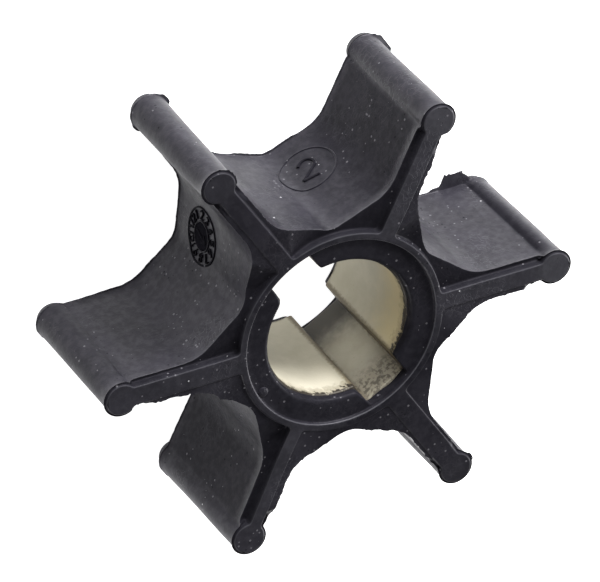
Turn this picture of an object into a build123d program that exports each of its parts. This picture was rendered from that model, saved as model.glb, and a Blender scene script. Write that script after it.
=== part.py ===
from build123d import *
import os
from math import cos, radians, sin, tan

# Flexible rubber pump impeller with a slotted metal drive bush bonded in its hub.
# Lengths are in mm. The shaft axis is +Z, the back end rests on Z = 0 and the vane at 0 degrees points along +X.

# Overall
VANES = 6               # equal vanes round the hub
WIDTH = 18.2            # rib top to rib top, along the shaft
END_STEP = 0.9          # ribs, collars and bulb ends stand this far proud of the web faces
DRAFT = 0.8             # degrees; the pockets open towards the front end

# Hub and vanes, measured at the front web face
HUB_R = 12.0            # where the two flats of a pocket's floor would meet, midway between vanes
FLOOR_SLOPE = 20.5      # degrees; the flats rise this much towards the vanes
CREASE_R = 3.0          # rounds the floor where its flats meet
ROOT_R = 4.9            # fillet between floor and vane
VANE_T = 3.0
TIP_CIRCLE_R = 24.9     # the circle through the bulb axes
BULB_R = 1.82
SEAM_R = 2.12           # thin parting seam round the back end of each bulb
SEAM_T = 0.25

# End details, the same at both ends
RIB_W = 1.3
BOSS_R = 1.75           # the bulb's end face
COLLAR_R = 11.6
COLLAR_T = 0.75
SIDE_SLOPE = 5.0        # degrees, on rib and collar flanks
LIP_STEP = 0.45         # the lip lies this far below the collar top
LIP_R = 8.2
LIP_EDGE_R = 0.45

# Drive bush
BUSH_RECESS = 1.25      # the bush stops this far short of both ends
BUSH_R = 11.1
BORE_R = 8.0            # 5/8 in shaft
SLOT_W = 5.2            # key slot width at the front end
SLOT_FLOOR_R = 10.2     # slot floor from the shaft axis
SLOT_DRAFT = 0.7        # degrees a side, narrowing towards the back end

STEP_ANGLE = 360 / VANES
WEB_H = WIDTH - 2 * END_STEP
BUSH_L = WIDTH - 2 * BUSH_RECESS
FRONT = WIDTH - END_STEP


def at_vane(i):
    return Rot(0, 0, i * STEP_ANGLE)


def pocket_corner():
    """Corner points of half a pocket, its mid line along +X: the crease, then the root fillet's start, middle and end.

    The fillet touches the floor flat and the vane's side, so its centre lies the same distance from both lines.
    """
    half_step = radians(STEP_ANGLE / 2)
    slope = radians(FLOOR_SLOPE)
    to_floor = HUB_R * cos(slope)
    spread = cos(slope + half_step)
    # The fillet is held back where it would reach the crease's own rounding.
    room = (sin(half_step) * to_floor - cos(slope) * VANE_T / 2) / spread - CREASE_R * sin(slope)
    root = min(ROOT_R, 0.95 * room / ((cos(slope) - sin(half_step)) / spread - sin(slope)))
    floor_side = to_floor + root
    vane_side = VANE_T / 2 + root
    centre = Vector((cos(half_step) * floor_side - sin(slope) * vane_side) / spread,
                    (sin(half_step) * floor_side - cos(slope) * vane_side) / spread)
    from_floor = Vector(cos(slope), -sin(slope))
    from_vane = Vector(sin(half_step), -cos(half_step))
    between = (from_floor + from_vane).normalized()
    return Vector(HUB_R, 0), centre - from_floor * root, centre - between * root, centre - from_vane * root


def star_profile():
    """Hub, vanes, root fillets and bulbs as one outline at the front web face."""
    crease, fillet_start, fillet_mid, fillet_end = pocket_corner()
    axis = Vector(0, 0)
    to_vane = Vector(cos(radians(STEP_ANGLE / 2)), sin(radians(STEP_ANGLE / 2)))
    on_vane = to_vane * fillet_end.dot(to_vane)
    half_pocket = make_face([
        Edge.make_line(axis, crease),
        Edge.make_line(crease, fillet_start),
        Edge.make_three_point_arc(fillet_start, fillet_mid, fillet_end),
        Edge.make_line(fillet_end, on_vane),
        Edge.make_line(on_vane, axis),
    ])
    star = Circle(HUB_R / 2)
    for i in range(VANES):
        star += at_vane(i) * Rot(0, 0, STEP_ANGLE / 2) * half_pocket
        star += at_vane(i) * Rot(0, 0, STEP_ANGLE / 2) * mirror(half_pocket, about=Plane.XZ)
    creases = [v for v in star.vertices() if abs(Vector(v.X, v.Y).length - HUB_R) < 0.01]
    star = fillet(creases, CREASE_R)
    for i in range(VANES):
        star += at_vane(i) * (Pos(TIP_CIRCLE_R / 2, 0) * Rectangle(TIP_CIRCLE_R, VANE_T))
        star += at_vane(i) * (Pos(TIP_CIRCLE_R, 0) * Circle(BULB_R))
    return star.face()


def web():
    """The star drawn down from the front web face, growing a little towards the back."""
    front = star_profile()
    if front.normal_at().Z < 0:
        front = -front
    body = extrude(Pos(0, 0, FRONT) * front, amount=-WEB_H, taper=-DRAFT)
    return body


def end_details():
    """Collar, ribs and bulb ends as they stand on a web face at Z = 0."""
    lean = END_STEP * tan(radians(SIDE_SLOPE))
    sunk = 0.4          # carried into the web so that the pieces fuse
    sink = sunk * tan(radians(SIDE_SLOPE))
    inner = COLLAR_R - COLLAR_T
    ring = revolve(make_face(Polyline(
        (inner - 1.5, 0, -sunk), (COLLAR_R + lean + sink, 0, -sunk), (COLLAR_R, 0, END_STEP),
        (inner - 1.5, 0, END_STEP), close=True)), Axis.Z)
    out = ring
    length = TIP_CIRCLE_R - inner
    for i in range(VANES):
        base = Rectangle(length, RIB_W + 2 * (lean + sink))
        top = Rectangle(length, RIB_W)
        place = Pos(inner + length / 2, 0, -sunk)
        rib = loft([place * base, place * Pos(0, 0, END_STEP + sunk) * top], ruled=True)
        boss = Pos(TIP_CIRCLE_R, 0, -sunk) * Cylinder(
            BOSS_R, END_STEP + sunk, align=(Align.CENTER, Align.CENTER, Align.MIN))
        out = out + at_vane(i) * rib + at_vane(i) * boss
    return out


def hub_void():
    """Everything inside the hub that isn't rubber: the bush's seat, the lips' holes and the collars' mouths."""
    inner = COLLAR_R - COLLAR_T
    z_lip = WIDTH - LIP_STEP
    e = LIP_EDGE_R
    k = e * (1 - cos(radians(45)))

    def line(*points):
        return [Edge.make_line(Vector(a[0], 0, a[1]), Vector(b[0], 0, b[1])) for a, b in zip(points, points[1:])]

    def arc(a, b, c):
        return [Edge.make_three_point_arc(Vector(a[0], 0, a[1]), Vector(b[0], 0, b[1]), Vector(c[0], 0, c[1]))]

    edges = line((0, -1), (inner, -1), (inner, LIP_STEP), (LIP_R + e, LIP_STEP))
    edges += arc((LIP_R + e, LIP_STEP), (LIP_R + k, LIP_STEP + k), (LIP_R, LIP_STEP + e))
    edges += line((LIP_R, LIP_STEP + e), (LIP_R, BUSH_RECESS), (BUSH_R, BUSH_RECESS),
                  (BUSH_R, WIDTH - BUSH_RECESS), (LIP_R, WIDTH - BUSH_RECESS), (LIP_R, z_lip - e))
    edges += arc((LIP_R, z_lip - e), (LIP_R + k, z_lip - k), (LIP_R + e, z_lip))
    edges += line((LIP_R + e, z_lip), (inner, z_lip), (inner, WIDTH + 1), (0, WIDTH + 1), (0, -1))
    return revolve(make_face(edges), Axis.Z)


def slot_cutter(z0, z1, floor_r, extra=0.0):
    """One bar across the axis, the width of the key slots at each height."""
    def width(z):
        return SLOT_W + 2 * extra - 2 * (WIDTH - BUSH_RECESS - z) * tan(radians(SLOT_DRAFT))
    low = Pos(0, 0, z0) * Rectangle(2 * floor_r, width(z0))
    high = Pos(0, 0, z1) * Rectangle(2 * floor_r, width(z1))
    return loft([low, high], ruled=True)


def rubber_impeller():
    body = web()
    ends = end_details()
    body = body + Pos(0, 0, FRONT) * ends + Pos(0, 0, END_STEP) * Rot(180, 0, 0) * ends
    for i in range(VANES):
        seam = Pos(TIP_CIRCLE_R, 0, END_STEP) * Cylinder(
            SEAM_R, SEAM_T, align=(Align.CENTER, Align.CENTER, Align.MIN))
        body = body + at_vane(i) * seam
    body = body - hub_void()
    mouth = COLLAR_R - COLLAR_T
    for z0, z1 in ((-1.0, BUSH_RECESS), (WIDTH - BUSH_RECESS, WIDTH + 1.0)):
        notch = slot_cutter(z0, z1, mouth, 0.12) & (
            Pos(0, 0, z0) * Cylinder(mouth, z1 - z0, align=(Align.CENTER, Align.CENTER, Align.MIN)))
        body = body - notch
    return body.solid()


def drive_bush():
    sleeve = Cylinder(BUSH_R, BUSH_L, align=(Align.CENTER, Align.CENTER, Align.MIN))
    sleeve = Pos(0, 0, BUSH_RECESS) * sleeve
    sleeve = sleeve - Cylinder(BORE_R, 3 * WIDTH)
    sleeve = sleeve - slot_cutter(BUSH_RECESS - 1.0, WIDTH - BUSH_RECESS + 1.0, SLOT_FLOOR_R)
    return sleeve.solid()


os.makedirs("parts", exist_ok=True)
export_step(rubber_impeller(), "parts/rubber_impeller.step")
export_step(drive_bush(), "parts/drive_bush.step")
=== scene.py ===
import math
import bmesh
import bpy
import numpy as np
from mathutils import Matrix, Vector


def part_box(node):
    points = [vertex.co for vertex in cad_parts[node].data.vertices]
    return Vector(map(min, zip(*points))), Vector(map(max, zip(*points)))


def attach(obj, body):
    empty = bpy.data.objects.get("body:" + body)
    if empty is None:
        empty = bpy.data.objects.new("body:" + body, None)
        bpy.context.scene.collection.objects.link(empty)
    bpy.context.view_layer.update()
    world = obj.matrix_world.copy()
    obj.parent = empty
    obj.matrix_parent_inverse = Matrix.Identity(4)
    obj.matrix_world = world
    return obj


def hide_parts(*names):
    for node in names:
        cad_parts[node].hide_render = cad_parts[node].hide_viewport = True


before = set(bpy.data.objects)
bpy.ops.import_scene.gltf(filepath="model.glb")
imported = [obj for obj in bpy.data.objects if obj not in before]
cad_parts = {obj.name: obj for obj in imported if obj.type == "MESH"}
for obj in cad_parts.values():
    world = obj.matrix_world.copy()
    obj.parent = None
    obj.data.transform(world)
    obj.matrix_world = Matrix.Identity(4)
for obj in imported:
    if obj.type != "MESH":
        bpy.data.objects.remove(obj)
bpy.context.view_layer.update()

# Flexible rubber pump impeller with a slotted metal drive bush in its hub. Shapes are worked out in mm in the
# part's own frame: the shaft axis is +Z, the back end is Z = 0, and vane 0 points along +X.
MM = 0.001
rubber_low, rubber_high = (np.array(corner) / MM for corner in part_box("rubber_impeller"))
bush_low, bush_high = (np.array(corner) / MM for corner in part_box("drive_bush"))

# ---------------- sizes of the rubber
VANES = 6
STEP = math.radians(360 / VANES)
WIDTH = float(rubber_high[2])
END_STEP = 0.9              # ribs, collars and bulb ends stand this far proud of the web faces
FRONT_FACE = WIDTH - END_STEP
DRAFT = math.tan(math.radians(0.8))
HUB_R = 12.0                # where a pocket's two floor flats would meet, midway between vanes
FLOOR_SLOPE = math.radians(20.5)
CREASE_R = 3.0
VANE_HALF = 1.5
ROOT_R = 4.9
BULB_R = 1.82
SEAM_R = 2.12
TIP_CIRCLE_R = float(rubber_high[0]) - SEAM_R
BULB_FILLET = 0.6
RIB_HALF = (1.15, 0.95, 0.9, 0.95, 1.1, 0.68)     # half the width of each vane's rib
# Share of the full front step, on the left and right of each vane's rib and in the gap before the next vane.
RIB_SUNK = ((0.1, 0.1), (1.0, 0.12), (1.0, 0.35), (0.08, 0.4), (0.12, 1.0), (0.15, 1.0))
GAP_SUNK = (0.06, 1.0, 1.0, 1.0, 0.25, 0.06)
BOSS_SUNK = 0.85            # the least share of that step beside the bosses
BULB_FILLED = 0.86          # share of it that is filled round the bulbs
GLINT_LOST = 0.85            # share of the painted highlight on the edge that is taken away where the step is filled
# Share of painted shade, which darkens the colour and takes away gloss, on the left and right side wall of each
# vane, on its rib's front and on stretches of its bulb (vane, from and to in degrees round the bulb, share); less
# than nothing is a painted sheen of added gloss. ROOT_SHADE is how far the painted shade of a vane's side goes on
# over its root.
WALL_SHADE = ((0.0, 0.0), (0.0, 0.0), (0.55, 0.0), (0.0, 0.0), (0.0, 0.0), (0.0, 0.5))
ROOT_SHADE = (0.0, 0.0, 0.6, 0.0, 0.0, 0.0)
TOP_SHADE = (0.4, 0.0, 0.0, 0.45, 0.1, 0.1)
BULB_SHADE = ((1, -70, 68, -1.0), (1, 92, 150, 0.8), (2, -60, 10, -0.6), (2, 35, 95, 0.25), (3, -120, -35, -0.6),
              (3, -10, 110, 0.3), (4, -150, 60, 0.3))
COLLAR_SHADE = 0.45         # painted shade on the collar's front, and that added where the step beside it is filled
COLLAR_FILLED_SHADE = 0.2
FACE_SHADE = 0.7            # painted shade on the sunk web faces
# below 0: a painted sheen of added gloss on the back parting lip
BACK_LIP_SHADE = -0.8
LINING_SHADE = 0.55         # painted shade inside the hub
# Share of pale dust on each vane's front boss and rib.
TOP_DUST = ((0.2, 0.0), (0.9, 0.25), (0.8, 0.3), (0.25, 0.0), (0.2, 0.2), (0.1, 0.3))
BOSS_R = 1.75
RIB_FILLET = 0.5
COLLAR_R = 11.6
MOUTH_R = 10.85
LIP_STEP = 0.45
LIP_R = 8.2
LIP_EDGE = 0.45
NOTCH_HALF = 2.58
NOTCH_R = 10.62
BACK_NOTCH_R = 11.2         # the back notches run out through the collar's mouth
FLANK = math.tan(math.radians(5.0))
EDGE_ROUND = 0.13
FOOT_ROUND = 0.2
MOUTH_CORNER = 0.15         # rounds the foot of the collar's mouth
LIP_DEPTH = 0.24            # height of the wall that the parting lip takes up below a web face
LEAN_START = 13.0           # vanes lean from this far out along them
UNEVEN = 0.035              # height and length of the side walls' unevenness
UNEVEN_REACH = 9.0
MARK_SINK = 0.06            # raised marks start this far inside the wall

# ---------------- sizes of the metal bush
BUSH_R = float(bush_high[0])
BUSH_BACK = float(bush_low[2])
BUSH_FRONT = float(bush_high[2])
BORE_R = 8.0
SLOT_HALF = 2.6
SLOT_FLOOR_R = 10.2
SLOT_DRAFT = math.tan(math.radians(0.7))
SLOT_CORNER = 0.2
BUSH_EDGE = 0.28

# How far each vane leans from its true place at the front end, in mm: along the vane, then across it.
VANE_LEAN = ((-0.3, 0.0), (0.0, -0.19), (0.0, 0.2), (0.0, 0.05), (0.05, -0.12), (0.0, 0.5))
# The same at the back end.
BACK_LEAN = ((0.0, 0.0), (-0.8, 0.0), (-0.28, 0.0), (0.0, 0.0), (0.0, 0.0), (0.0, 0.0))
BULB_STRAIGHT = (0.0, 0.5, 0.9, 0.0, 0.0, 0.0)      # share of the draft that each bulb is without

# Parting flash. Radius of the bulbs' back discs and front crowns, then patches of flash: vane, end (0 is the back),
# "tip" for degrees round the bulb or "left" and "right" for mm along that side of the vane, where the patch starts
# and ends, how far it stands out, and how ragged it is.
DISC_R = (2.0, 2.02, 1.95, 2.2, 2.22, 2.2)
CROWN_R = (1.88, 1.97, 1.86, 1.95, 1.9, 1.88)
FLASH = (
    (2, 0, "tip", -92, -62, 0.4, 0.1),
    (2, 0, "tip", -92, -42, 0.35, 0.1),
    (2, 0, "tip", -92, -22, 0.3, 0.1),
    (2, 0, "tip", -92, 0, 0.2, 0.1),
    (1, 0, "left", 21.0, 24.4, 1.3, 0.18),
    (1, 0, "left", 19.4, 24.4, 0.35, 0.3),
    (5, 0, "tip", -32, 4, 0.3, 0.5),
    (3, 0, "tip", -112, -72, 0.3, 0.3),
    (3, 0, "tip", 88, 122, 0.16, 0.2),
    (0, 1, "tip", 66, 100, 0.45, 0.4),
    (3, 1, "tip", -125, -25, 0.2, 1.0),
    (4, 1, "left", 12.5, 23.0, 0.2, 1.0),
    (4, 1, "left", 13.0, 18.5, 0.3, 0.4),
    (5, 1, "left", 12.0, 23.0, 0.17, 1.0),
    *((vane, 1, "right", 12.0, 23.0, 0.17, 1.0) for vane in range(3)),
    (3, 1, "right", 13.0, 22.0, 0.1, 1.0),
    (2, 0, "left", 9.5, 13.5, 0.2, 0.3),
    (3, 0, "right", 9.5, 13.5, 0.2, 0.3),
    (3, 0, "left", 9.5, 17.5, 0.04, 0.6),
    (4, 0, "right", 13.0, 20.0, 0.1, 0.4),
)


# ---------------- mesh helpers
SHARP_ANGLE = math.radians(40.0)


def risen(place, start, length):
    """0 up to start, 1 from length past it, and even between: place less start over length, held to 0..1."""
    return np.clip((place - start) / length, 0, 1)


def polar(angle, radius=1.0):
    """Plan points at that radius and angle about the origin: radius times cosine and sine."""
    return radius * np.stack([np.cos(angle), np.sin(angle)], axis=-1)


def quarter_round(radius, *degrees):
    """Places on a rounded edge of that radius, each as how far in it lies, how far down, and its angle."""
    return [(radius * (1 - math.sin(a)), radius * (1 - math.cos(a)), a) for a in np.radians(degrees)]


def path_length(path):
    """How far along a line of plan points each one lies: the running sum of the gaps between them."""
    return np.concatenate([[0], np.cumsum(np.linalg.norm(np.diff(path, axis=0), axis=1))])


def along_path(places, length, values):
    """Both columns of values at places along a path, by straight lines between the path's points."""
    return np.stack([np.interp(places, length, values[:, k]) for k in (0, 1)], axis=-1)


def turned(points, angle):
    """Points turned about the shaft axis by angle, as x cos - y sin and x sin + y cos."""
    c, s = np.cos(angle), np.sin(angle)
    out = np.array(points, dtype=float)
    out[..., 0] = points[..., 0] * c - points[..., 1] * s
    out[..., 1] = points[..., 0] * s + points[..., 1] * c
    return out


def grid_quads(rows, cols, wrap_cols, wrap_rows=False, flip=False, first=0):
    """Quads of a rows by cols grid of points, as whole index arrays, closed across or along where asked."""
    r = np.arange(rows if wrap_rows else rows - 1)[:, None]
    c = np.arange(cols if wrap_cols else cols - 1)[None, :]
    r2, c2 = (r + 1) % rows, (c + 1) % cols
    corners = [r * cols + c, r2 * cols + c, r2 * cols + c2, r * cols + c2]
    if flip:
        corners.reverse()
    return first + np.stack(np.broadcast_arrays(*corners), axis=-1).reshape(-1, 4)


def new_object(name, data):
    """A new object of that data, put in the scene at the origin."""
    made = bpy.data.objects.new(name, data)
    bpy.context.scene.collection.objects.link(made)
    return made


def add_piece(name, grids, slot, attributes=None, merge=0.002):
    """One object in the slot's material from grids, each (points, wrap_cols, wrap_rows, flip), with points nearer
    than merge made one and smooth shading but for edges that turn by SHARP_ANGLE. attributes has one value a point
    for each named attribute."""
    points = np.concatenate([g[0].reshape(-1, 3) for g in grids])
    quads, first = [], 0
    for shape, wrap_cols, wrap_rows, flip in grids:
        rows, cols = shape.shape[:2]
        quads.append(grid_quads(rows, cols, wrap_cols, wrap_rows, flip, first))
        first += rows * cols
    mesh = bpy.data.meshes.new(name)
    mesh.from_pydata(points * MM, [], np.concatenate(quads))
    for label, values in (attributes or {}).items():
        layer = mesh.attributes.new(label, "FLOAT", "POINT")
        layer.data.foreach_set("value", np.asarray(values, dtype=np.float32).ravel())
    work = bmesh.new()
    work.from_mesh(mesh)
    bmesh.ops.remove_doubles(work, verts=work.verts, dist=merge * MM)
    bmesh.ops.dissolve_degenerate(work, edges=work.edges, dist=merge * MM * 0.5)
    bmesh.ops.recalc_face_normals(work, faces=work.faces)
    if work.calc_volume(signed=True) < 0:
        bmesh.ops.reverse_faces(work, faces=work.faces)
    for face in work.faces:
        face.smooth = True
    for edge in work.edges:
        edge.smooth = edge.calc_face_angle(0.0) < SHARP_ANGLE
    for parts, context in ((work.edges, "EDGES"), (work.verts, "VERTS")):
        bmesh.ops.delete(work, geom=[part for part in parts if not part.link_faces], context=context)
    work.to_mesh(mesh)
    work.free()
    piece = new_object(name, mesh)
    piece.data.materials.append(MATERIALS[slot])
    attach(piece, "root")
    return piece


def steps(start, end, count, last=False):
    """count even values from start towards end, with end itself only if last."""
    return np.linspace(start, end, count + (1 if last else 0), endpoint=last)


def swell(x, y, z, reach, seed):
    """Soft unevenness between about -1 and 1: the sum of four sine waves, each reach mm long in a seeded direction
    through space, over the largest value that it often has."""
    waves, largest = 4, 2.2
    random = np.random.default_rng(seed)
    total = 0.0
    for _ in range(waves):
        way = random.normal(size=3)
        way *= 2 * math.pi / (reach * np.linalg.norm(way))
        total = total + np.sin(way[0] * x + way[1] * y + way[2] * z + random.uniform(0, 2 * math.pi))
    return total / largest


# ---------------- the star: web, vanes, bulbs, ribs, collars
def beside_circle(tip, radius, fillet, half):
    """The centre of a fillet between a circle about the tip and a vane's or rib's side at y = half, and the angle
    where it leaves the circle. The centre is fillet above the side and radius + fillet from the tip."""
    reach, above = radius + fillet, half + fillet
    return tip + np.array([-math.sqrt(reach ** 2 - above ** 2), above]), math.pi - math.asin(above / reach)


def half_vane(rib_half=1.0):
    """Three matched plan curves for half a vane, from its tip round to the middle of the hub gap.

    web: bulb arc, its small fillet, the vane's flat side, the root fillet, the floor's flat and half the crease.
    rib: boss arc, its fillet, the rib's side, the fillet to the collar and the collar arc.
    spine: the rib's centre line, then the rim of the collar's mouth.
    Each point of one curve lies beside the same-numbered point of the others. Returns web, its outward normals,
    rib, its normals and spine, then the angles of the rim's points.
    """
    tip = np.array([TIP_CIRCLE_R, 0.0])

    def level(x, y):
        """Points at the places x along the vane, all at the same distance y across it."""
        return np.stack([x, np.full_like(x, y)], axis=-1)

    # web outline
    bulb_fillet, bulb_end = beside_circle(tip, BULB_R, BULB_FILLET, VANE_HALF)
    facing = FLOOR_SLOPE + STEP / 2                     # the way the floor's flat faces
    floor_n = np.array([math.cos(facing), math.sin(facing)])
    floor_at = HUB_R * math.cos(FLOOR_SLOPE)
    root_y = VANE_HALF + ROOT_R
    root = np.array([(floor_at + ROOT_R - root_y * floor_n[1]) / floor_n[0], root_y])
    floor_start = root - ROOT_R * floor_n
    crease = (floor_at + CREASE_R) / math.cos(FLOOR_SLOPE) * np.array([math.cos(STEP / 2), math.sin(STEP / 2)])
    floor_end = crease - CREASE_R * floor_n
    # rib outline
    boss_fillet, boss_end = beside_circle(tip, BOSS_R, RIB_FILLET, rib_half)
    neck_y = rib_half + RIB_FILLET
    neck = np.array([math.sqrt((COLLAR_R + RIB_FILLET) ** 2 - neck_y ** 2), neck_y])
    neck_end = math.atan2(neck[1], neck[0])

    curves = [[] for _ in range(5)]

    def add(web_points, web_normals, rib_points, rib_normals, spine_points):
        """Put one stretch of matched points at the end of each curve."""
        for store, values in zip(curves, (web_points, web_normals, rib_points, rib_normals, spine_points)):
            store.append(np.broadcast_to(values, rib_points.shape))

    up = np.array([0.0, 1.0])
    # round the bulb
    a = steps(0, bulb_end, 26)
    add(tip + BULB_R * polar(a), polar(a), tip + BOSS_R * polar(a), polar(a),
        level(TIP_CIRCLE_R + BOSS_R * np.cos(a), 0))
    # the bulb's fillet beside the rest of the boss
    a = steps(bulb_end - math.pi, -math.pi / 2, 5)
    b = steps(bulb_end, boss_end, 5)
    add(bulb_fillet + BULB_FILLET * polar(a), -polar(a), tip + BOSS_R * polar(b), polar(b),
        level(TIP_CIRCLE_R + BOSS_R * np.cos(b), 0))
    # the start of the vane's side beside the fillet between boss and rib
    rib_start = boss_fillet[0]
    side_start = rib_start - 0.4
    side = steps(bulb_fillet[0], side_start, 4)
    b = steps(boss_end - math.pi, -math.pi / 2, 4)
    curve = boss_fillet + RIB_FILLET * polar(b)
    add(level(side, VANE_HALF), up, curve, -polar(b), level(curve[:, 0], 0))
    # along the flat side
    side = steps(side_start, root[0], 19)
    along = steps(rib_start, root[0], 19)
    add(level(side, VANE_HALF), up, level(along, rib_half), up, level(along, 0))
    # root fillet beside the rest of the rib
    a = steps(-math.pi / 2, facing - math.pi, 16)
    along = steps(root[0], neck[0], 16)
    add(root + ROOT_R * polar(a), -polar(a), level(along, rib_half), up, level(along, 0))
    # the start of the floor's flat beside the fillet between rib and collar
    begun = 0.22
    flat = steps(0, begun, 5)[:, None]
    b = steps(-math.pi / 2, neck_end - math.pi, 5)
    curve = neck + RIB_FILLET * polar(b)
    rim_r = MOUTH_R + EDGE_ROUND
    add(floor_start + flat * (floor_end - floor_start), floor_n, curve, -polar(b),
        level(steps(neck[0], rim_r, 5), 0))
    # the rest of the flat and the crease beside the collar; closer together at the lips' notches
    share = np.concatenate([steps(0, 0.4, 5), steps(0.4, 0.9, 19), steps(0.9, 1.0, 3, last=True)])
    rest = (1 - begun) * np.linalg.norm(floor_end - floor_start)
    cut = rest / (rest + CREASE_R * FLOOR_SLOPE)
    on_flat = floor_start + (begun + (1 - begun) * risen(share, 0, cut)[:, None]) * (floor_end - floor_start)
    on_crease = facing - math.pi - FLOOR_SLOPE * risen(share, cut, 1 - cut)
    first = (share <= cut)[:, None]
    round_collar = neck_end + (STEP / 2 - neck_end) * share
    add(np.where(first, on_flat, crease + CREASE_R * polar(on_crease)), np.where(first, floor_n, -polar(on_crease)),
        COLLAR_R * polar(round_collar), polar(round_collar), rim_r * polar(STEP / 2 * share))
    return [np.concatenate(curve) for curve in curves], share * STEP / 2


def whole_vane(curve):
    """A curve for both halves of a vane, from the hub gap before it to the one after it, by mirroring in Y."""
    mirrored = curve[:0:-1] * np.array([1.0, -1.0])
    return np.concatenate([mirrored, curve[:-1]])


def end_rows():
    """The profile of one end, from the rib's centre line over its rounded edge and down its flank, then over the
    web face to the parting lip at the web's edge. Each row is: shares of spine, rib and web curve, offset from
    the rib curve, offset from the web curve, share of the lip, depth below the rib's top, and painted edge highlight."""
    flank_end = END_STEP - FOOT_ROUND
    foot = FLANK * flank_end + FOOT_ROUND
    rows = [(1 - share, share, 0, -EDGE_ROUND, 0, 0, 0, 0) for share in (0.0, 0.45, 0.85)]
    rows.append((0, 1, 0, -EDGE_ROUND - 0.04, 0, 0, 0, 0))
    # the last value is a painted highlight, strongest halfway round the rounded edge
    rows += [(0, 1, 0, -into, 0, 0, down, math.sin(2 * a))
             for into, down, a in quarter_round(EDGE_ROUND, 0, 30, 60, 85)]
    rows.append((0, 1, 0, FLANK * flank_end * 0.5, 0, 0, flank_end * 0.55, 0))
    rows.append((0, 1, 0, FLANK * flank_end, 0, 0, flank_end, 0))
    rows += [(0, 1, 0, foot - FOOT_ROUND * math.cos(a), 0, 0, flank_end + FOOT_ROUND * math.sin(a), 0)
             for a in np.radians((35, 65, 90))]
    rows += [(0, 1 - share, share, foot, -0.06, 0, END_STEP, 0) for share in (0.12, 0.35, 0.65, 0.9)]
    # the parting lip's edge gets a painted highlight too
    rows += [(0, 0, 1, 0, web_off, lip, END_STEP + below, glint_and_dust) for web_off, lip, below, glint_and_dust in (
        (-0.06, 0, 0, 0), (-0.03, 1, 0.005, 0.4), (0.0, 1, 0.04, 1), (-0.01, 1, 0.1, 0.4), (0.02, 0.15, 0.15, 0),
        (0, 0, LIP_DEPTH, 0))]
    return np.array(rows)


def patch(place, low, high, soft):
    """1 where place lies between low and high, fading evenly to 0 over the soft length about both ends."""
    return np.clip((place - low) / soft + 0.5, 0, 1) * np.clip((high - place) / soft + 0.5, 0, 1)


def ragged_line(length, spacing, seed):
    """Values from 0 to 1 along a length: seeded values at even spacing, joined by straight lines."""
    marks = np.arange(0, length[-1] + spacing, spacing)
    return np.interp(length, marks, np.random.default_rng(seed).uniform(0.0, 1.0, len(marks)))


def lip_sizes(web, vane, end):
    """How far the parting lip stands out round one vane, measured from the web outline: a thin lip on the web, a
    wider one round the bulb, and this vane's patches of flash, all with ragged stretches."""
    length = path_length(web)
    ragged = ragged_line(length, 0.45, 100 * end + vane)
    fine = ragged_line(length, 0.25, 500 + 100 * end + vane)
    on_bulb = risen(web[:, 0], TIP_CIRCLE_R - 1.2, 0.6)
    if end == 0:
        on_web = DRAFT * (FRONT_FACE - END_STEP) + 0.1 + 0.06 * ragged
        on_tip = (DISC_R[vane] - BULB_R) * (0.85 + 0.15 * ragged)
    else:
        on_web = 0.02 + 0.05 * ragged
        on_tip = CROWN_R[vane] - BULB_R + 0.05 * ragged
    size = on_web * (1 - on_bulb) + on_tip * on_bulb
    round_tip = np.degrees(np.arctan2(web[:, 1], web[:, 0] - TIP_CIRCLE_R))
    for at_vane, at_end, where, low, high, reach, rough in FLASH:
        if (at_vane, at_end) != (vane, end):
            continue
        if where == "tip":
            share = patch(round_tip, low, high, 10) * on_bulb
        else:
            share = patch(web[:, 0], low, high, 0.5) * ((web[:, 1] > 0) == (where == "left"))
        size = size + reach * share * (1 - rough * (1 - fine * fine))
    return size


def in_back_notch(angle):
    """1 inside the two open notches at the back of the hub, 0 outside, with steep sides between."""
    soft = 0.24
    across = BACK_NOTCH_R * np.abs(np.sin(angle))
    return risen(-across, -NOTCH_HALF - soft / 2, soft)


def drafted(z):
    """How far the side walls have grown outwards by draft at each height below the front web face."""
    return np.clip(FRONT_FACE - z, 0, FRONT_FACE - END_STEP) * DRAFT


def uneven(x, y, z):
    """Slight moulding unevenness of the side walls, in mm, fading out over the last 2 mm at both ends."""
    fade = risen(-z, -FRONT_FACE, 2) * risen(z, END_STEP, 2)
    return UNEVEN * swell(x, y, z, UNEVEN_REACH, 7) * fade


def in_place(flat, z, vane):
    """Points in space from a vane's plan points and heights: moved by its lean, which grows smoothly from nothing at
    the hub to all at the tip and changes evenly from the back end to the front, then turned to the vane's angle."""
    share = risen(flat[..., 0], LEAN_START, TIP_CIRCLE_R - LEAN_START)
    share = share * share * (3 - 2 * share)
    front = (z / WIDTH + 0 * share)[..., None]
    flat = flat + share[..., None] * (front * np.array(VANE_LEAN[vane]) + (1 - front) * np.array(BACK_LEAN[vane]))
    return turned(np.concatenate([flat, z[..., None]], axis=-1), vane * STEP)


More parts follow.
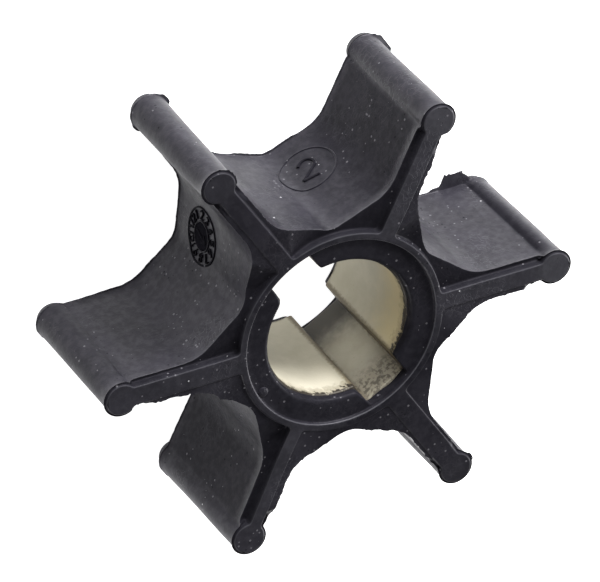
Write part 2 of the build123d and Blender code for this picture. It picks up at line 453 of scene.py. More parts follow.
def star_surface():
    """The whole outside of the rubber as one closed grid: rows run along the profile from the front ribs' centre
    lines, down the side wall and up to the back ribs' centre lines, and columns run round the six vanes."""
    web_w = whole_vane(half_vane()[0][0])
    ends = end_rows()
    wall_z = np.linspace(FRONT_FACE - LIP_DEPTH, END_STEP + LIP_DEPTH, 17)[1:-1]
    wall = np.zeros((len(wall_z), ends.shape[1]))
    wall[:, 2] = 1
    rows = np.concatenate([ends, wall, ends[::-1]])
    spine_share, rib_share, web_share = (rows[:, k][:, None, None] for k in range(3))
    rib_off, web_off, lip_share, depth, glint_and_dust = (rows[:, k][:, None] for k in range(3, 8))
    level_z = np.concatenate([WIDTH - ends[:, 6], wall_z, ends[::-1, 6]])[:, None]
    # which part of the profile each row is in
    number = np.arange(len(rows))[:, None]
    is_front = number < len(ends)
    is_back = 1.0 * (number >= len(ends) + len(wall_z))
    is_wall = ~is_front * (1 - is_back)
    is_face = (depth > 0.02) * (number < len(ends) - 4)
    is_top = (depth < 0.02) * (rows[:, 2:3] == 0) * is_front
    # how far each front row lies below the rib's top, from its rounded edge on and in all; it fades out down the wall
    full = depth * is_front
    sunk = np.clip(full - EDGE_ROUND, 0, None)
    for drop in (sunk, full):
        drop[len(ends) - 2:len(ends), 0] *= (0.6, 0.3)
    # which part of the vane each column is in
    left = web_w[:, 1] > 0
    along = web_w[:, 0]
    on_bulb = risen(along, TIP_CIRCLE_R - 1.5, 0.6)[None, :]
    near_root = risen(along, 10.6, 1.5)
    beside_rib = risen(along, 12.2, 2.4)
    beside_boss = risen(along, 21.2, 1.0)
    boss_top = risen(along, 22.0, 1.5)
    round_tip = np.degrees(np.arctan2(web_w[:, 1], along - TIP_CIRCLE_R))
    vanes, glint_kept, wall_shade = [], [], []
    for i in range(VANES):
        web_w, web_nw, rib_w, rib_nw, spine_w = (whole_vane(c) for c in half_vane(RIB_HALF[i])[0])
        # the front step beside the rib and collar: share is 1 where it is full and 0 where it is filled
        gap = np.where(left, GAP_SUNK[i], GAP_SUNK[i - 1])
        share = gap + (np.where(left, *RIB_SUNK[i]) - gap) * beside_rib
        share = share + (np.maximum(share, BOSS_SUNK) - share) * beside_boss
        z = level_z + np.maximum(BULB_FILLED * on_bulb * sunk, (1 - share) * (1 - on_bulb) * full)
        # the painted edge highlight is mostly taken away where the step is filled
        glint_kept.append(1 - (1 - is_back) * (1 - share) * GLINT_LOST)
        # painted shade on the side wall, the ribs and collar, and the sunk faces; painted sheen where it is below 0
        on_side = np.where(left, *WALL_SHADE[i]) * np.maximum(beside_rib, ROOT_SHADE[i] * near_root) * (1 - on_bulb[0])
        on_round = sum(value * patch(round_tip, low, high, 40) for at, low, high, value in BULB_SHADE if at == i)
        on_side = on_side + on_round * on_bulb[0]
        collar = COLLAR_SHADE + COLLAR_FILLED_SHADE * (1 - gap)
        on_top = collar + (TOP_SHADE[i] - collar) * beside_rib
        on_face = FACE_SHADE * share + on_top * (1 - share)
        wall_shade.append(on_side * is_wall + BACK_LIP_SHADE * lip_share * is_back
                          + on_top * is_top + on_face * is_face)
        lip = lip_sizes(web_w, i, 1)[None, :] * (1 - is_back) + lip_sizes(web_w, i, 0)[None, :] * is_back
        plan = turned(web_w, i * STEP)
        bumps = uneven(plan[None, :, 0], plan[None, :, 1], z)
        draft = drafted(z) * (1 - on_bulb * BULB_STRAIGHT[i])
        web_offset = web_off + lip_share * lip + (1 - lip_share) * draft + bumps
        radius = np.linalg.norm(spine_w, axis=1)
        at = np.arctan2(spine_w[:, 1], spine_w[:, 0]) + i * STEP
        rim = MOUTH_R + EDGE_ROUND + (BACK_NOTCH_R - MOUTH_R) * in_back_notch(at)
        opened = np.maximum(radius, rim) / radius - 1
        flat = (spine_share * (spine_w * (1 + is_back * opened)[..., None])
                + rib_share * (rib_w + rib_off[..., None] * rib_nw)
                + web_share * (web_w + web_offset[..., None] * web_nw))
        vanes.append(in_place(flat, z, i))
    dust = np.concatenate([boss + (on_boss - boss) * boss_top for on_boss, boss in TOP_DUST])[None, :]
    # painted highlight along the edges, and pale dust on the boss and rib tops
    glint_and_dust = np.maximum(glint_and_dust * np.concatenate(glint_kept, axis=1), is_top * dust)
    shade = np.concatenate(wall_shade, axis=1) + 0 * glint_and_dust
    return np.clip(np.concatenate(vanes, axis=1), rubber_low, rubber_high), glint_and_dust, shade


def lip_radius(angle):
    """The lip's inner edge against the angle round the axis: the lip circle, cut back to straight notch sides
    beside both key slots, with its corners rounded by soft minimum and maximum."""
    furthest = 14.0                 # keeps the notch's sides finite where they run along the axis
    outer_soft = 0.16
    sine, size = np.sin(angle), np.abs(np.sin(angle))
    inner_soft = 0.42 - 0.2 * np.sign(sine) * risen(size, 0, 0.1)
    side = np.minimum(NOTCH_HALF / np.maximum(size, 0.05), furthest)
    outer = inner_soft * np.logaddexp(LIP_R / inner_soft, side / inner_soft)
    return -outer_soft * np.logaddexp(-outer / outer_soft, -NOTCH_R / outer_soft)


def hub_lining():
    """The inside of the hub as one grid: the rim and wall of the front mouth, the front lip with its rounded edge,
    the seat round the bush, and the same again to the back rim. Columns meet the star's rim points."""
    _, half = half_vane()
    one = np.concatenate([-half[:0:-1], half[:-1]])
    angle = np.concatenate([one + i * STEP for i in range(VANES)])[None, :]
    lip = lip_radius(angle)
    edge = np.minimum(LIP_EDGE, (MOUTH_R - lip) * 0.7)
    rows, glint_and_dust = [], []

    def row(radius, depth, glint=0.0):
        """Put one ring of points at the end: its radius, its depth below the rim and its painted edge highlight."""
        rows.append((np.broadcast_to(radius, angle.shape), np.broadcast_to(depth, angle.shape)))
        glint_and_dust.append(glint)

    # a painted highlight on the mouth's rounded rim, twice as strong as on the other edges
    for into, down, a in quarter_round(EDGE_ROUND, 0, 30, 60, 90):
        row(MOUTH_R + into, down, 2.0 * math.sin(2 * a))
    row(MOUTH_R, LIP_STEP - MOUTH_CORNER)
    for up, out, _ in quarter_round(MOUTH_CORNER, 45, 90):
        row(MOUTH_R - out - 0.02, LIP_STEP - up)
    top = MOUTH_R - MOUTH_CORNER - 0.02
    for share in (0.33, 0.66, 0.95):
        row(top + (lip + edge - top) * share, LIP_STEP)
    for into, down, _ in quarter_round(edge, 0, 22, 45, 67, 90):
        row(lip + into, LIP_STEP + down)
    recess = WIDTH - BUSH_FRONT
    creep = 0.07 + 0.07 * swell(np.cos(angle) * 8, np.sin(angle) * 8, 0, 2.1, 3)
    row(lip - 0.03, recess - 0.16)
    row(lip - creep, recess - 0.04)
    row(lip - creep, recess)
    row(BUSH_R, recess)
    front = len(rows)
    radius = np.stack([r[0] for r, _ in rows + rows[::-1]])
    z = np.stack([WIDTH - d[0] for _, d in rows] + [d[0] for _, d in rows[::-1]])
    opened = np.full((front, 1), BACK_NOTCH_R)
    opened[-4:, 0] += radius[-4:, 0] - MOUTH_R
    radius[front:] += (opened - radius[front:]) * in_back_notch(angle)
    points = np.stack([radius * np.cos(angle), radius * np.sin(angle), z], axis=-1)
    glint_and_dust = np.broadcast_to(np.array(glint_and_dust + glint_and_dust[::-1])[:, None], radius.shape)
    # painted shade inside the hub, from a few rows below the front rim on
    below_rim = risen(np.arange(2 * front), 3, 2)[:, None]
    return points, glint_and_dust, np.broadcast_to(below_rim * LINING_SHADE, radius.shape)


# ---------------- raised marks on the pocket walls
NUMBER_AT = (2, 2.52, 6.72)         # vane, length round the wall from the middle of the gap, and height
DIAL_AT = (3, 2.79, 6.76)
DIAL_FIGURES_R = 2.36
DIAL_TURN = 20.0                    # degrees
FIGURE_PITCH = 0.72                 # from figure to figure, for a height of 1
NUB_AT = (-0.68, -10.2)
NUB_R = 0.62
NUB_RISE = 0.14


def on_wall(vane, along, z, height):
    """Points on the side wall beside a vane: along is the length round the outline from the middle of the gap
    after the vane, z the height and height how far the point stands out of the wall."""
    (web, web_n, _, _, _), _ = half_vane()
    web, web_n = web[::-1], web_n[::-1]
    length = path_length(web)
    middle = polar(STEP / 2)
    beyond = (along < 0)[..., None]

    def at_places(values):
        """values at those lengths, as their mirror image about the middle of the gap where along is below 0."""
        found = along_path(np.abs(along), length, values)
        return np.where(beyond, 2 * (found @ middle)[..., None] * middle - found, found)

    foot, normal = at_places(web), at_places(web_n)
    plan = turned(foot, vane * STEP)
    out = height + drafted(z) + uneven(plan[..., 0], plan[..., 1], z)
    return in_place(foot + out[..., None] * normal, z, vane)


def bead(path, width, height, shade, closed=False):
    """A raised line: a low rounded section laid across each of the evenly spaced points of a path of (right, up)
    points, in mm on the mark's own plane, with its underside sunk into the wall. Returns a shape for mark_piece."""
    path = np.array(path, dtype=float)
    if closed:
        path = np.concatenate([path, path[:1]])
    length = path_length(path)
    spacing = 0.12
    even = np.linspace(0, length[-1], max(3, int(length[-1] / spacing) + 1))
    line = along_path(even, length, path)
    if closed:
        line = line[:-1]
        way = np.roll(line, -1, axis=0) - np.roll(line, 1, axis=0)
    else:
        way = np.gradient(line, axis=0)
    way /= np.linalg.norm(way, axis=1)[:, None]
    side = np.stack([-way[:, 1], way[:, 0]], axis=-1)
    section = np.array([(-0.5, -MARK_SINK), (-0.5, 0.0), (-0.36, height * 0.8), (-0.15, height), (0.15, height),
                        (0.36, height * 0.8), (0.5, 0.0), (0.5, -MARK_SINK)])
    flat = line[:, None, :] + (section[:, 0] * width)[None, :, None] * side[:, None, :]
    rise = np.broadcast_to(section[:, 1], flat.shape[:2])
    if not closed:
        tip = np.broadcast_to(line[[0, -1]][:, None, :], (2,) + flat.shape[1:])
        flat = np.concatenate([tip[:1], flat, tip[1:]])
        tip_rise = np.full((1, len(section)), height * 0.3)
        rise = np.concatenate([tip_rise, rise, tip_rise])
    return (flat[..., 0], flat[..., 1], rise), closed, shade


def arc(x, y, rx, ry, start, end, count=14):
    """Points of an ellipse's arc between two angles in degrees."""
    return (x, y) + polar(np.radians(np.linspace(start, end, count))) * (rx, ry)


def ring(radius, count, width, height, shade):
    """A closed bead round a whole circle of count points."""
    return bead(arc(0, 0, radius, radius, 0, 360 - 360 / count, count), width, height, shade, closed=True)


# Strokes of the figures, each in a box 0.6 wide and 1 high about its own middle.
FIGURES = {
    "0": [arc(0, 0, 0.3, 0.5, 90, 450, 20)],
    "1": [[(-0.15, 0.3), (0.05, 0.5), (0.05, -0.5)]],
    "2": [np.concatenate([arc(0, 0.2, 0.3, 0.3, 165, -30), [(-0.3, -0.5), (0.3, -0.5)]])],
    "3": [np.concatenate([arc(0, 0.25, 0.27, 0.25, 150, -80), arc(0, -0.25, 0.3, 0.25, 80, -150)])],
    "4": [[(0.15, -0.5), (0.15, 0.5), (-0.3, -0.2), (0.3, -0.2)]],
    "5": [np.concatenate([[(0.27, 0.5), (-0.22, 0.5), (-0.25, 0.05)], arc(0, -0.18, 0.3, 0.32, 130, -150)])],
    "6": [np.concatenate([[(0.2, 0.5), (-0.2, 0.1)], arc(0, -0.22, 0.28, 0.28, 165, 515, 18)])],
    "7": [[(-0.3, 0.5), (0.3, 0.5), (-0.1, -0.5)]],
    "8": [arc(0, 0.25, 0.24, 0.25, 270, 630, 16), arc(0, -0.25, 0.3, 0.25, 90, 450, 16)],
    "9": [np.concatenate([arc(0, 0.22, 0.28, 0.28, -15, 345, 18), [(-0.1, -0.5)]])],
}


def figure_beads(text, right, up, height, turn, width, rise, shade):
    """Beads for a short number whose middle is at (right, up), turned anticlockwise by turn in degrees."""
    c, s = math.cos(math.radians(turn)), math.sin(math.radians(turn))
    beads = []
    for place, letter in enumerate(text):
        shift = (place - (len(text) - 1) / 2) * FIGURE_PITCH
        for stroke in FIGURES[letter]:
            x, y = ((np.array(stroke) + (shift, 0)) * height).T
            path = np.stack([right + x * c - y * s, up + x * s + y * c], axis=-1)
            beads.append(bead(path, width, rise, shade))
    return beads


def disc(radius, rise, shade):
    """A low round pad with a hollow top, as grid rings from the middle of its sunk underside round to its top. The
    top's height falls inwards with the square of the distance from the middle, to 0.35 of the rise."""
    a = steps(0, 2 * math.pi, 40)[None, :]
    top = np.linspace(0.93, 0, 7)
    r = np.concatenate([[0.0, 1.0, 1.0], top])[:, None]
    height = np.concatenate([[-MARK_SINK, -MARK_SINK, 0.0], rise * (0.35 + 0.65 * top ** 2)])[:, None]
    return (radius * r * np.cos(a), radius * r * np.sin(a), height + 0 * a), False, shade


def mark_piece(name, place, shapes):
    """One piece of raised marks on the wall beside a vane. The mark's right runs towards the vane and its up
    towards the back end; place is the vane, then the length round the wall and the height of the mark's middle.
    Each shape is a grid of right, up and rise, whether it is a loop, and its painted shade."""
    vane, along, z = place
    grids, shades = [], []
    for (right, up, rise), loop, shade in shapes:
        points = on_wall(vane, along + right, z - up, rise)
        grids.append((points, True, loop, False))
        shades.append(np.full(points.shape[:2], shade).ravel())
    add_piece(name, grids, "rubber", {"shade": np.concatenate(shades)}, merge=0.0005)


def cavity_number():
    """A plain 2 inside a thin ring."""
    # the last number of the ring and of the figure is its painted shade
    figure = figure_beads("2", 0.05, 0.0, 3.1, -12, 0.36, 0.17, 0.7)
    mark_piece("cavity_number", NUMBER_AT, [ring(3.2, 90, 0.22, 0.09, 0.3)] + figure)


def month_dial():
    """A clock dial of plain numbers round a sunk-topped pad with an arrow."""
    # the last number of each ring, the pad, the figures and the arrow is its painted shade
    shapes = [ring(3.1, 90, 0.24, 0.12, 0.8), ring(1.62, 60, 0.2, 0.15, 0.5), disc(1.55, 0.12, 1.0)]
    for number in range(1, 13):
        turn = 360 / 12 * number + DIAL_TURN
        up, right = polar(math.radians(turn), DIAL_FIGURES_R)
        shapes += figure_beads(str(number), right, up, 0.96, -turn, 0.18, 0.17, 0.8)
    c, s = polar(math.radians(-DIAL_TURN))
    for stroke in ([(0, 1.15), (0, -1.1)], [(-0.5, -0.35), (0, -1.15), (0.5, -0.35)]):
        path = np.array(stroke) @ np.array([[c, s], [-s, c]])
        shapes.append(bead(path, 0.36, 0.2, 0.9))
    mark_piece("month_dial", DIAL_AT, shapes)


def lip_nub():
    """A small dome left on the front lip, as rings from its sunk foot to its top: at each angle of climb t, the
    radius goes by its cosine and the height by its sine."""
    a = steps(0, 2 * math.pi, 24)[None, :]
    t = np.radians(np.array([0, 0, 20, 45, 70, 90]))[:, None]
    sink = 0.05
    r = NUB_R * np.cos(t) * np.array([0, 1, 1, 1, 1, 1])[:, None]
    z = WIDTH - LIP_STEP + NUB_RISE * np.sin(t) - sink * np.array([1, 1, 0, 0, 0, 0])[:, None]
    return np.stack([NUB_AT[0] + r * np.cos(a), NUB_AT[1] + r * np.sin(a), z + 0 * a], axis=-1)


# ---------------- the metal bush
def bush_surface():
    """The bush as one grid closed both ways. Columns go round the bore outline: the flat slot floors, their inner
    corners, the slot sides, the rounded edges and the bore arcs. Rows go round the wall's section: outside,
    front face, rounded edge, inside, rounded edge and back face. The slots narrow towards the back."""
    e = BUSH_EDGE
    edge_round = quarter_round(e, 0, 30, 60, 90)
    # rows: share of the outer circle, offset into the metal from the bore outline, offset from the outer circle, z
    rows = [(1.0, 0.0, 0.0, z) for z in np.linspace(BUSH_BACK + e, BUSH_FRONT - e, 8)]
    rows += [(1.0, 0.0, -e, BUSH_FRONT), (0.5, e + 0.03, -e / 2, BUSH_FRONT)]
    rows += [(0.0, into, 0, BUSH_FRONT - down) for into, down, _ in edge_round]
    rows += [(0.0, 0.0, 0, z) for z in np.linspace(BUSH_FRONT - e - 0.05, BUSH_BACK + e + 0.05, 20)]
    rows += [(0.0, into, 0, BUSH_BACK + down) for into, down, _ in edge_round[::-1]]
    rows += [(0.5, e + 0.03, -e / 2, BUSH_BACK), (1.0, 0.0, -e, BUSH_BACK)]
    rows = np.array(rows)
    share, inset, outset, z = (rows[:, k][:, None] for k in range(4))
    w = SLOT_HALF - (BUSH_FRONT - z) * SLOT_DRAFT
    centre_x = np.sqrt((BORE_R + e) ** 2 - (w + e) ** 2)
    at_bore = np.arctan2(w + e, centre_x)
    corner_x = SLOT_FLOOR_R - SLOT_CORNER
    corner_y = w - SLOT_CORNER
    # a quarter of the outline, stretch by stretch: places in x and y, then outward normals
    floor = steps(0, 1, 8)[None, :]
    turn = steps(0, math.pi / 2, 4)[None, :]
    edge = -math.pi / 2 + (at_bore - math.pi / 2) * steps(0, 1, 5)[None, :]
    bore = at_bore + (math.pi / 2 - at_bore) * steps(0, 1, 26, last=True)[None, :]
    stretches = (
        (SLOT_FLOOR_R, floor * corner_y, -1.0, 0.0),
        (corner_x + SLOT_CORNER * np.cos(turn), corner_y + SLOT_CORNER * np.sin(turn), -np.cos(turn), -np.sin(turn)),
        (corner_x + (centre_x - corner_x) * floor, w, 0.0, -1.0),
        (centre_x + e * np.cos(edge), w + e + e * np.sin(edge), np.cos(edge), np.sin(edge)),
        (BORE_R * np.cos(bore), BORE_R * np.sin(bore), -np.cos(bore), -np.sin(bore)))
    x, y, nx, ny = np.concatenate([np.stack(np.broadcast_arrays(*stretch)) for stretch in stretches], axis=-1)

    def around(v, sx, sy):
        """From a quarter of the outline to all of it: the quarter, its mirror image in X, and both again below."""
        top = np.concatenate([v, sx * v[:, -2::-1]], axis=1)
        return np.concatenate([top, sy * top[:, -2:0:-1]], axis=1)

    x, nx = around(x, -1, 1), around(nx, -1, 1)
    y, ny = around(y, 1, -1), around(ny, 1, -1)
    angle = np.arctan2(y, x)
    ring = BUSH_R + outset
    x = (x - inset * nx) * (1 - share) + ring * np.cos(angle) * share
    y = (y - inset * ny) * (1 - share) + ring * np.sin(angle) * share
    return np.stack([x, y, z + 0 * x], axis=-1)


# ---------------- materials
class Graph:
    """The emptied node tree of a material or a world, with a way to put in each kind of node that is used."""

    def __init__(self, owner):
        """Give the owner an empty node tree."""
        owner.use_nodes = True
        self.tree = owner.node_tree
        self.tree.nodes.clear()

    def fill(self, made, **inputs):
        """Link each input to the value if that is another node's socket; otherwise make it the input's own value. An
        input's name has _ for a space; i0, i1 and so on name an input by its place."""
        for key, value in inputs.items():
            by_place = key[0] == "i" and key[1:].isdigit()
            socket = made.inputs[int(key[1:]) if by_place else key.replace("_", " ")]
            if isinstance(value, bpy.types.NodeSocket):
                self.tree.links.new(value, socket)
            else:
                socket.default_value = value

    def node(self, kind, settings=None, **inputs):
        """A node of that kind with its settings and inputs."""
        made = self.tree.nodes.new(kind)
        for key, value in (settings or {}).items():
            setattr(made, key, value)
        self.fill(made, **inputs)
        return made

    def math(self, operation, a, b=0.0, c=0.0, clamp=False):
        """One math operation on a, b and c, held to 0..1 if clamp."""
        return self.node("ShaderNodeMath", {"operation": operation, "use_clamp": clamp}, i0=a, i1=b, i2=c).outputs[0]

    def times(self, a, b, clamp=False):
        """a times b."""
        return self.math("MULTIPLY", a, b, clamp=clamp)

    def product_plus(self, a, b, c):
        """a times b, plus c."""
        return self.math("MULTIPLY_ADD", a, b, c)

    def jitter(self, value, pattern, amount):
        """value moved either way by the pattern: plus amount times the pattern less a half."""
        return self.product_plus(self.math("SUBTRACT", pattern, 0.5), amount, value)

    def ramp(self, value, low, high, start=0.0, end=1.0):
        """value moved smoothly from low..high to start..end, held at both ends."""
        return self.node("ShaderNodeMapRange", {"clamp": True, "interpolation_type": "SMOOTHSTEP"}, Value=value,
                         From_Min=low, From_Max=high, To_Min=start, To_Max=end).outputs[0]

    def paint(self, base, layers):
        """The base colour with each layer, a share and a colour, laid over it in turn by that share."""
        for share, colour in layers:
            base = self.node("ShaderNodeMix", {"data_type": "RGBA"}, i0=share, i6=base, i7=(*colour, 1)).outputs[2]
        return base

    def noise(self, where, scale, detail, offset=(0, 0, 0)):
        """Soft noise between 0 and 1, its pattern moved by offset."""
        place = self.node("ShaderNodeMapping", Vector=where, Location=offset).outputs[0]
        return self.node("ShaderNodeTexNoise", Vector=place, Scale=scale, Detail=detail, Roughness=0.55).outputs[0]

    def speckle(self, where, cells, chance, small, large):
        """Scattered round specks, 1 inside and 0 outside: a share of the cells, set by chance, holds one each."""
        made = self.node("ShaderNodeTexVoronoi", Vector=where, Scale=cells)
        chosen = self.node("ShaderNodeSeparateColor", i0=made.outputs["Color"])
        picked = self.math("LESS_THAN", chosen.outputs[0], chance)
        size = self.ramp(chosen.outputs[1], 0.0, 1.0, small, large)
        return self.times(picked, self.math("LESS_THAN", made.outputs["Distance"], size))


def new_material(name):
    """A material with only a surface shader, its graph and that shader."""
    made = bpy.data.materials.new(name)
    graph = Graph(made)
    shader = graph.node("ShaderNodeBsdfPrincipled")
    graph.node("ShaderNodeOutputMaterial", i0=shader.outputs[0])
    return made, graph, shader


def rubber_material():
    """Moulded black rubber: satin, mottled and grained, with pits and pale dust in patches, a painted highlight on the
    edges, and painted shade (darker, less glossy) or painted sheen (glossier) where the shade attribute says.
    """
    made, graph, shader = new_material("moulded_black_rubber")
    ramp, times, noise = graph.ramp, graph.times, graph.noise
    where = graph.node("ShaderNodeTexCoord").outputs["Object"]
    glint_and_dust, shade = (graph.node("ShaderNodeAttribute", {"attribute_name": name}).outputs["Fac"]
                   for name in ("painted_glint_and_dust", "shade"))
    mottle = noise(where, 260, 4)
    grain = noise(where, 4200, 2)
    cloud = noise(where, 1300, 3)
    # specks, each kind closer together in the patches
    patches = ramp(noise(where, 170, 2, offset=(0.02, 0.05, 0.01)), 0.42, 0.62)
    dust = graph.speckle(where, 800, ramp(patches, 0, 1, 0.05, 0.16), 0.04, 0.1)
    powder = graph.speckle(where, 2300, ramp(patches, 0, 1, 0.02, 0.2), 0.1, 0.3)
    pits = graph.speckle(where, 2200, ramp(patches, 0, 1, 0.01, 0.12), 0.12, 0.3)
    # curled grain: thin lines where a noise passes its middle value, on the rougher patches
    rough_patches = ramp(noise(where, 120, 2, offset=(0.07, 0.01, 0.03)), 0.5, 0.62)
    off_middle = graph.math("SUBTRACT", noise(where, 1500, 1, offset=(0.2, 0.4, 0.1)), 0.5)
    worm = times(ramp(graph.math("ABSOLUTE", off_middle), 0.0, 0.045, 1.0, 0.0), rough_patches)
    # less of both shows where shade is painted
    unshaded = graph.math("SUBTRACT", 1.0, shade, clamp=True)
    worm = times(worm, unshaded)
    visible_dust = times(dust, ramp(unshaded, 0.2, 0.6, 0.5, 1.0))
    colour = graph.paint((0.0115, 0.011, 0.0145, 1), (
        (ramp(mottle, 0.3, 0.7), (0.018, 0.017, 0.0225)),
        (ramp(cloud, 0.4, 0.75, 0, 0.5), (0.026, 0.025, 0.031)),
        # painted shade: darker wherever the shade attribute is above 0
        (times(shade, 0.75, clamp=True), (0.006, 0.0058, 0.0075)),
        # lighter as a painted highlight along the edges, and with pale dust on the boss tops
        (times(glint_and_dust, 0.25), (0.09, 0.09, 0.1)),
        (times(powder, 0.5), (0.16, 0.155, 0.17)),
        (times(worm, 0.25), (0.06, 0.058, 0.068)),
        (times(pits, 0.4), (0.006, 0.006, 0.007)),
        (times(visible_dust, 0.8), (0.42, 0.42, 0.44))))
    # gloss falls with painted shade and rises below 0 as a painted sheen
    shine = times(ramp(shade, -1.0, 1.0, 0.36, 0.0), ramp(cloud, 0.3, 0.7, 0.8, 1.2))
    rough = graph.math("ADD", ramp(mottle, 0.25, 0.75, 0.3, 0.42), times(grain, 0.08))
    height = graph.product_plus(grain, 0.5, times(visible_dust, 1.2))
    for pattern, depth in ((cloud, 0.8), (pits, -0.4), (worm, 0.6)):
        height = graph.product_plus(pattern, depth, height)
    bump = graph.node("ShaderNodeBump", Strength=0.4, Distance=0.00006, Height=height).outputs[0]
    graph.fill(shader, Base_Color=colour, Specular_IOR_Level=times(shine, ramp(pits, 0.0, 1.0, 1.0, 0.3)),
               Specular_Tint=(0.95, 0.92, 1.0, 1), Roughness=rough, Normal=bump)
    return made


def bush_material():
    """Dull pale brass: satin and clouded, stained brown along the slots' edges and the rims, with black rubber
    crept over the front edge and dirt at the slots' near ends. The slot floors are darker towards their far ends,
    and one side of the bore is paler towards the front as a painted highlight."""
    made, graph, shader = new_material("clouded_pale_brass")
    ramp, times, noise = graph.ramp, graph.times, graph.noise
    where = graph.node("ShaderNodeTexCoord").outputs["Object"]
    x, y, z = (times(place, 1 / MM) for place in graph.node("ShaderNodeSeparateXYZ", i0=where).outputs[:3])
    radius = graph.math("SQRT", graph.product_plus(x, x, times(y, y)))
    on_floor = ramp(radius, 9.5, 9.9)
    off_floor = graph.math("SUBTRACT", 1.0, on_floor)
    cloud = noise(where, 220, 5)
    blotch = noise(where, 900, 3)
    fine = noise(where, 3600, 3)
    speck = noise(where, 2400, 2, offset=(0.3, 0.1, 0.2))

    def ragged(blotches, specks, low, high, start=0.0, end=1.0):
        """A ramp along the axis, over a height in mm whose edge both noises make ragged."""
        return ramp(graph.jitter(graph.jitter(z, blotch, blotches), speck, specks), low, high, start, end)

    from_edge = graph.math("ABSOLUTE", graph.math("SUBTRACT", graph.math("ABSOLUTE", y), SLOT_HALF))
    dirt = times(times(on_floor, ragged(2.5, 0.0, 12.0, 15.2)), ramp(speck, 0.44, 0.6, 0, 0.75))
    creep = times(ragged(1.6, 2.0, BUSH_FRONT - 0.7, BUSH_FRONT - 0.25), off_floor)
    colour = graph.paint((0.37, 0.345, 0.262, 1), (
        (ramp(cloud, 0.3, 0.72), (0.5, 0.475, 0.385)),
        (ramp(fine, 0.6, 0.8, 0, 0.3), (0.26, 0.22, 0.15)),
        # olive towards the front on one side; on the other, a painted highlight that is paler towards the front
        (times(ragged(3.0, 1.0, 9.0, 15.5, 0, 0.6), ramp(y, 1.0, 4.0)), (0.52, 0.42, 0.2)),
        (times(ramp(z, 8.0, 15.0, 0, 0.42), ramp(y, -2.5, -4.0)), (0.86, 0.81, 0.68)),
        # brown along the slots' edges and the back rim
        (ramp(graph.jitter(from_edge, speck, 0.5), 0.08, 0.5, 0.75, 0), (0.09, 0.065, 0.032)),
        (ragged(0.4, 0.3, BUSH_BACK + 0.1, BUSH_BACK + 0.5, 0.8, 0), (0.1, 0.075, 0.045)),
        # on the slot floors: darker towards the far end, then dull and dirty at the near one
        (times(on_floor, ragged(1.6, 0.8, 3.2, 8.0, 0.95, 0)), (0.03, 0.028, 0.025)),
        (times(on_floor, ragged(1.0, 0.0, 10.0, 15.0, 0.12, 0.6)), (0.15, 0.13, 0.1)),
        (dirt, (0.055, 0.045, 0.035)),
        # a brown halo, then the rubber crept over the front edge
        (times(ragged(1.6, 1.6, BUSH_FRONT - 1.7, BUSH_FRONT - 0.8, 0, 0.45), off_floor), (0.17, 0.135, 0.075)),
        (creep, (0.025, 0.02, 0.014))))
    height = graph.product_plus(creep, 1.5, fine)
    bump = graph.node("ShaderNodeBump", Strength=0.25, Distance=0.00005, Height=height).outputs[0]
    graph.fill(shader, Base_Color=colour, Metallic=0.3, Specular_IOR_Level=0.35,
               Roughness=ramp(cloud, 0.3, 0.7, 0.42, 0.56), Normal=bump)
    return made


def floor_material():
    """A plain white light table: matt white, softly lit from below."""
    made, graph, shader = new_material("white_light_table")
    graph.fill(shader, Base_Color=(0.9, 0.9, 0.9, 1), Roughness=0.9, Specular_IOR_Level=0.0,
               Emission_Color=(1, 1, 1, 1), Emission_Strength=1.0)
    return made


# ---------------- the pieces
MATERIALS = {"rubber": rubber_material(), "bush_metal": bush_material()}

star, star_glint_and_dust, star_shade = star_surface()
lining, lining_glint, lining_shade = hub_lining()
impeller = add_piece("rubber_star", [(star, True, False, False), (lining, True, False, True)], "rubber",
                     {"painted_glint_and_dust": np.concatenate([star_glint_and_dust.ravel(), lining_glint.ravel()]),
                      "shade": np.concatenate([star_shade.ravel(), lining_shade.ravel()])}, merge=0.0006)
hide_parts("rubber_impeller")

cavity_number()
month_dial()
add_piece("lip_nub", [(lip_nub(), True, False, False)], "rubber")

bush = add_piece("slotted_drive_bush", [(bush_surface(), True, True, True)], "bush_metal")
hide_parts("drive_bush")


# ---------------- floor, lights and camera
LIGHT_DISTANCE = 0.7
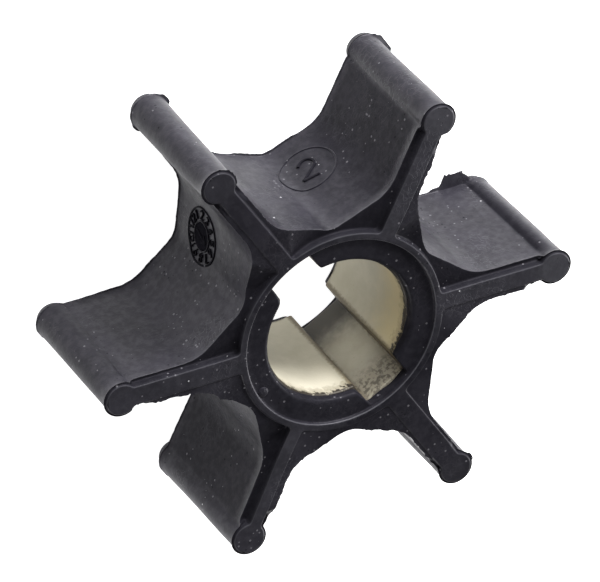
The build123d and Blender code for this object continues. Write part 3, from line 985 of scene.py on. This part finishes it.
# Soft lights: name, azimuth and height in degrees, size in metres and power.
LIGHTS = (("key", 120, 14, 0.32, 12.5), ("side", 150, 28, 0.32, 2.3), ("back", 38, 14, 0.4, 4.6),
          ("rim", 292, 16, 0.4, 3.2))
CAMERA_AT = (-0.383343, -0.014068, 0.469585)
CAMERA_FORWARD = (0.639220, 0.023046, -0.768679)
CAMERA_DOWN = (0.587569, -0.659509, 0.468839)
CAMERA_LENS = 344.0


def add_floor():
    """A flat square under the part."""
    size = 3.0
    corners = np.array([[-size, -size, 0], [size, -size, 0], [size, size, 0], [-size, size, 0]])
    mesh = bpy.data.meshes.new("floor")
    mesh.from_pydata(corners, [], [(0, 1, 2, 3)])
    floor = new_object("floor", mesh)
    floor.data.materials.append(floor_material())


def add_soft_light(name, azimuth, height, size, power):
    """A square soft light that faces the part from that azimuth and height, both in degrees."""
    data = bpy.data.lights.new(name, "AREA")
    data.size = size
    data.energy = power
    light = new_object(name, data)
    a, h = math.radians(azimuth), math.radians(height)
    way = Vector((math.cos(h) * math.cos(a), math.cos(h) * math.sin(a), math.sin(h)))
    light.location = way * LIGHT_DISTANCE
    light.rotation_euler = way.to_track_quat("Z", "Y").to_euler()


def add_camera():
    """The camera stands over the -X side, 50 degrees up, rolled so that +Z leans to the lower right."""
    forward, down = Vector(CAMERA_FORWARD), Vector(CAMERA_DOWN)
    right = down.cross(forward)
    data = bpy.data.cameras.new("camera")
    data.sensor_width = 36.0
    data.lens = CAMERA_LENS
    data.clip_start = 0.05
    camera = new_object("camera", data)
    turn = Matrix((right, -down, -forward)).transposed()
    camera.matrix_world = Matrix.Translation(CAMERA_AT) @ turn.to_4x4()
    bpy.context.scene.camera = camera


def set_world():
    """Soft surroundings: pale near the horizon and dim overhead."""
    world = bpy.data.worlds.new("studio")
    graph = Graph(world)
    ray = graph.node("ShaderNodeTexCoord").outputs["Generated"]
    height = graph.node("ShaderNodeSeparateXYZ", i0=ray).outputs[2]
    strength = graph.ramp(height, 0.0, 0.4, 0.5, 0.22)
    glow = graph.node("ShaderNodeBackground", Color=(1, 1, 1, 1), Strength=strength)
    graph.node("ShaderNodeOutputWorld", i0=glow.outputs[0])
    bpy.context.scene.world = world


add_floor()
for soft_light in LIGHTS:
    add_soft_light(*soft_light)
set_world()
add_camera()
bpy.context.scene.view_settings.view_transform = "Standard"
